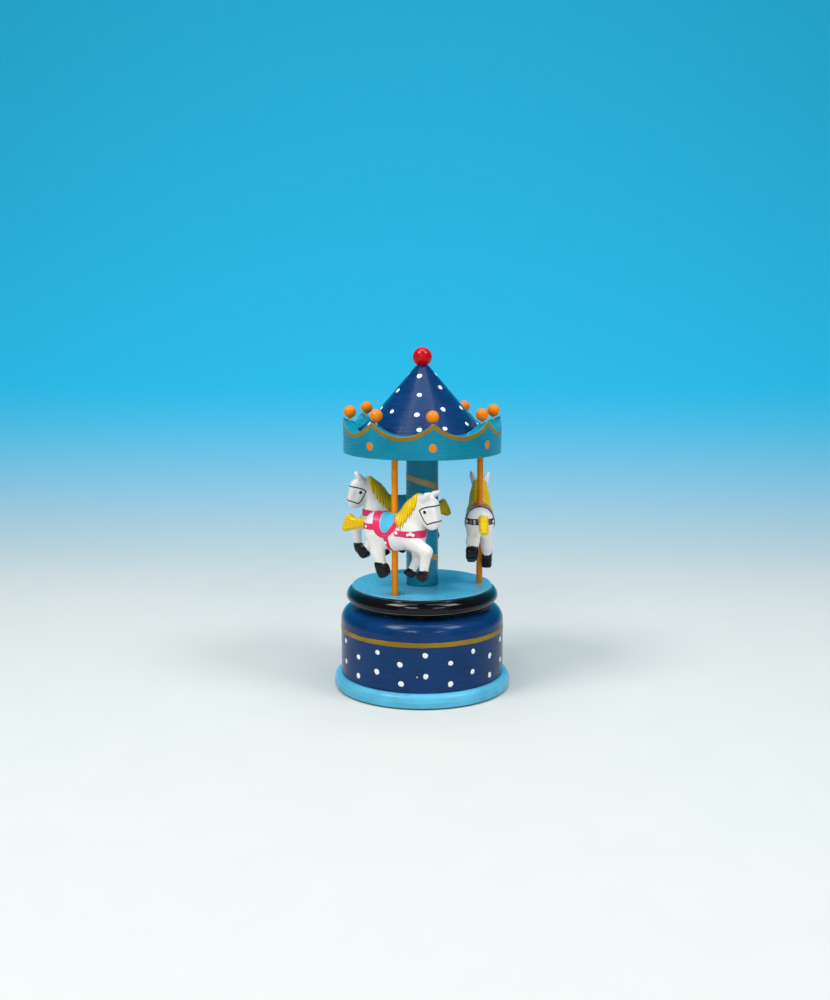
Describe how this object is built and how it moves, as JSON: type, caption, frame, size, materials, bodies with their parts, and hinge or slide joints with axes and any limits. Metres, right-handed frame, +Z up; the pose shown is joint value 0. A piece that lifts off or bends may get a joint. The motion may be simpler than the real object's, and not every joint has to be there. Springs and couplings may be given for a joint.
{
  "type": "carousel music box",
  "caption": "Free-standing carousel music box in painted wood: a round base with a pinned-cylinder movement under a turning platform with horses on poles, a column and a cone roof.",
  "frame": {"origin": "centre of the base's underside, on the table", "axes": "+Z up the column, towards the ball on the roof; -Y towards the viewer; +X to the viewer's right"},
  "size_m": [0.1, 0.1, 0.1911],
  "materials": {
    "green_felt": "short felt nap",
    "light_blue_paint": "glossy brushed lacquer on turned wood",
    "navy_paint": "glossy brushed lacquer on turned wood",
    "black_lacquer": "high-gloss lacquer on turned wood",
    "orange_paint": "glossy paint on turned wood",
    "pole_orange_paint": "semi-gloss paint on a wood rod",
    "red_paint": "glossy paint on a wood ball",
    "gold_paint": "satin ochre-gold brushed line",
    "white_paint": "glossy raised paint dot",
    "horse_white_paint": "glossy off-white paint on carved wood",
    "yellow_paint": "glossy paint on carved wood",
    "pink_paint": "glossy brushed line",
    "raw_wood": "unpainted beech",
    "screw_steel": "zinc-plated, satin",
    "plated_iron": "zinc-plated stamping",
    "spring_steel": "blued, satin",
    "brass": "satin brass",
    "nylon": "moulded, matte"
  },
  "bodies": {
    "base": {"felt_pad": "green_felt", "base_plate": "light_blue_paint", "base_screws": "screw_steel", "drum": "navy_paint", "thrust_washer": "nylon", "bedplate": "plated_iron", "bedplate_screws": "screw_steel", "spring_housing": "brass", "mainspring": "spring_steel", "comb_rest": "plated_iron", "comb": "spring_steel", "comb_screws": "brass", "cylinder_bracket_inner": "brass", "cylinder_bracket_outer": "brass", "governor_frame": "nylon"},
    "turntable": {"winding_shaft": "screw_steel", "crown_wheel": "brass", "turntable_hub": "plated_iron", "hub_screws": "screw_steel", "glide_stud": "black_lacquer", "turntable_rim": "black_lacquer", "platform": "light_blue_paint", "lower_dowel": "raw_wood", "column": "light_blue_paint", "upper_dowel": "raw_wood", "pole_1": "pole_orange_paint", "pole_2": "pole_orange_paint", "pole_3": "pole_orange_paint", "horse_1": "horse_white_paint", "horse_2": "horse_white_paint", "horse_3": "horse_white_paint", "crown": "light_blue_paint", "roof_cone": "navy_paint", "finial_pin": "raw_wood", "finial_ball": "red_paint", "bead_pins": "raw_wood", "bead_1": "orange_paint", "bead_2": "orange_paint", "bead_3": "orange_paint", "bead_4": "orange_paint", "bead_5": "orange_paint", "bead_6": "orange_paint", "bead_7": "orange_paint", "bead_8": "orange_paint"},
    "tune_cylinder_set": {"cylinder_arbor": "screw_steel", "tune_cylinder": "brass", "cylinder_pins": "brass", "cylinder_pinion": "brass"},
    "governor_wheel_set": {"governor_arbor": "screw_steel", "governor_wheel": "nylon"},
    "governor_fly_set": {"governor_worm": "screw_steel", "governor_fly": "nylon"}
  },
  "joints": [
    {"name": "turntable_spin", "type": "hinge", "parent": "base", "child": "turntable", "pos_m": [0, 0, 0.0498], "axis": [0, 0, 1], "continuous": true},
    {"name": "tune_cylinder_spin", "type": "hinge", "parent": "base", "child": "tune_cylinder_set", "pos_m": [0.0225, 0, 0.0204], "axis": [1, 0, 0], "continuous": true},
    {"name": "governor_wheel_spin", "type": "hinge", "parent": "base", "child": "governor_wheel_set", "pos_m": [-0.017, 0, 0.0219], "axis": [1, 0, 0], "continuous": true},
    {"name": "governor_fly_spin", "type": "hinge", "parent": "base", "child": "governor_fly_set", "pos_m": [-0.017, 0.004, 0.0297], "axis": [0, 1, 0], "continuous": true}
  ],
  "couplings": [
    {"joint": "tune_cylinder_spin", "follows": "turntable_spin", "ratio": -3.125},
    {"joint": "governor_wheel_spin", "follows": "turntable_spin", "ratio": 5},
    {"joint": "governor_fly_spin", "follows": "turntable_spin", "ratio": -60}
  ]
}
